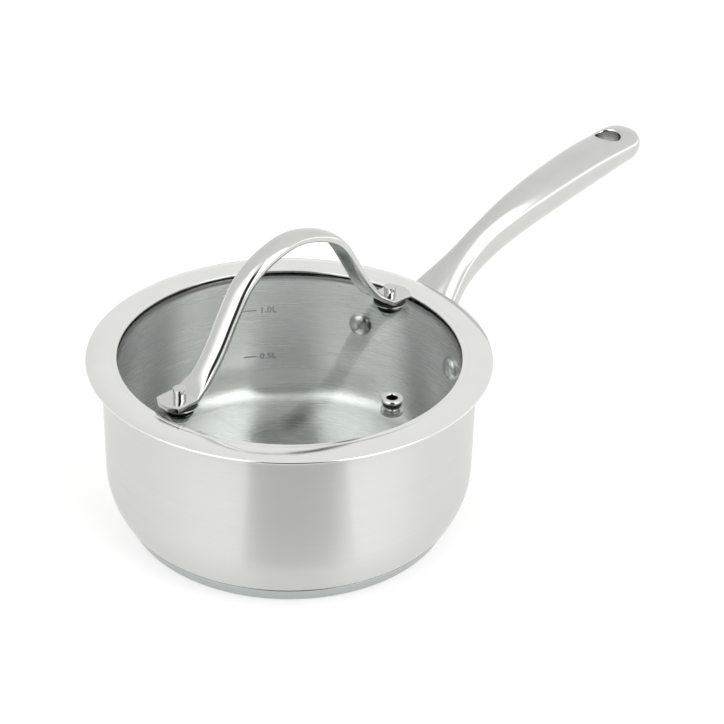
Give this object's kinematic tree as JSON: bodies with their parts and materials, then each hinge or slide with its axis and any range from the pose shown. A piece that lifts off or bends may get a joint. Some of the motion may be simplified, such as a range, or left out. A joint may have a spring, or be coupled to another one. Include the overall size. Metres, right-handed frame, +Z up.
{
  "type": "saucepan with glass lid",
  "caption": "Straight-walled steel saucepan with a rounded foot, long riveted hollow handle and a flat-banded glass lid with a strap handle.",
  "frame": {"origin": "centre of the base's flat underside", "axes": "+Z up, +X out along the long handle, so the lid's strap also runs along X and the vent is on the -Y side"},
  "size_m": [0.3295, 0.174, 0.1351],
  "materials": {
    "vessel_steel": "satin, brushed round the wall",
    "base_steel": "satin",
    "core_aluminium": "matt",
    "handle_steel": "soft polish",
    "band_steel": "fine satin",
    "bright_steel": "mirror polish",
    "clear_glass": "clear tempered",
    "black_silicone": "matt"
  },
  "bodies": {
    "pan": {"vessel": "vessel_steel", "base_core": "core_aluminium", "base_cap": "base_steel", "handle_bracket": "handle_steel", "handle_upper_shell": "handle_steel", "handle_lower_shell": "handle_steel", "hanging_liner": "handle_steel", "rivet_left": "bright_steel", "rivet_right": "bright_steel"},
    "lid": {"lid_glass": "clear_glass", "lid_band": "band_steel", "lid_seal": "black_silicone", "lid_strap": "bright_steel", "post_front": "bright_steel", "post_back": "bright_steel", "ring_front": "bright_steel", "ring_back": "bright_steel", "foot_washer_front": "black_silicone", "foot_washer_back": "black_silicone", "under_washer_front": "black_silicone", "under_washer_back": "black_silicone", "screw_front": "bright_steel", "screw_back": "bright_steel", "vent_eyelet": "bright_steel", "vent_gasket": "black_silicone", "vent_nut": "bright_steel"}
  },
  "joints": [
    {"name": "lid_lift", "type": "slide", "parent": "pan", "child": "lid", "axis": [0, 0, 1], "range_m": [0, 0.15]}
  ]
}
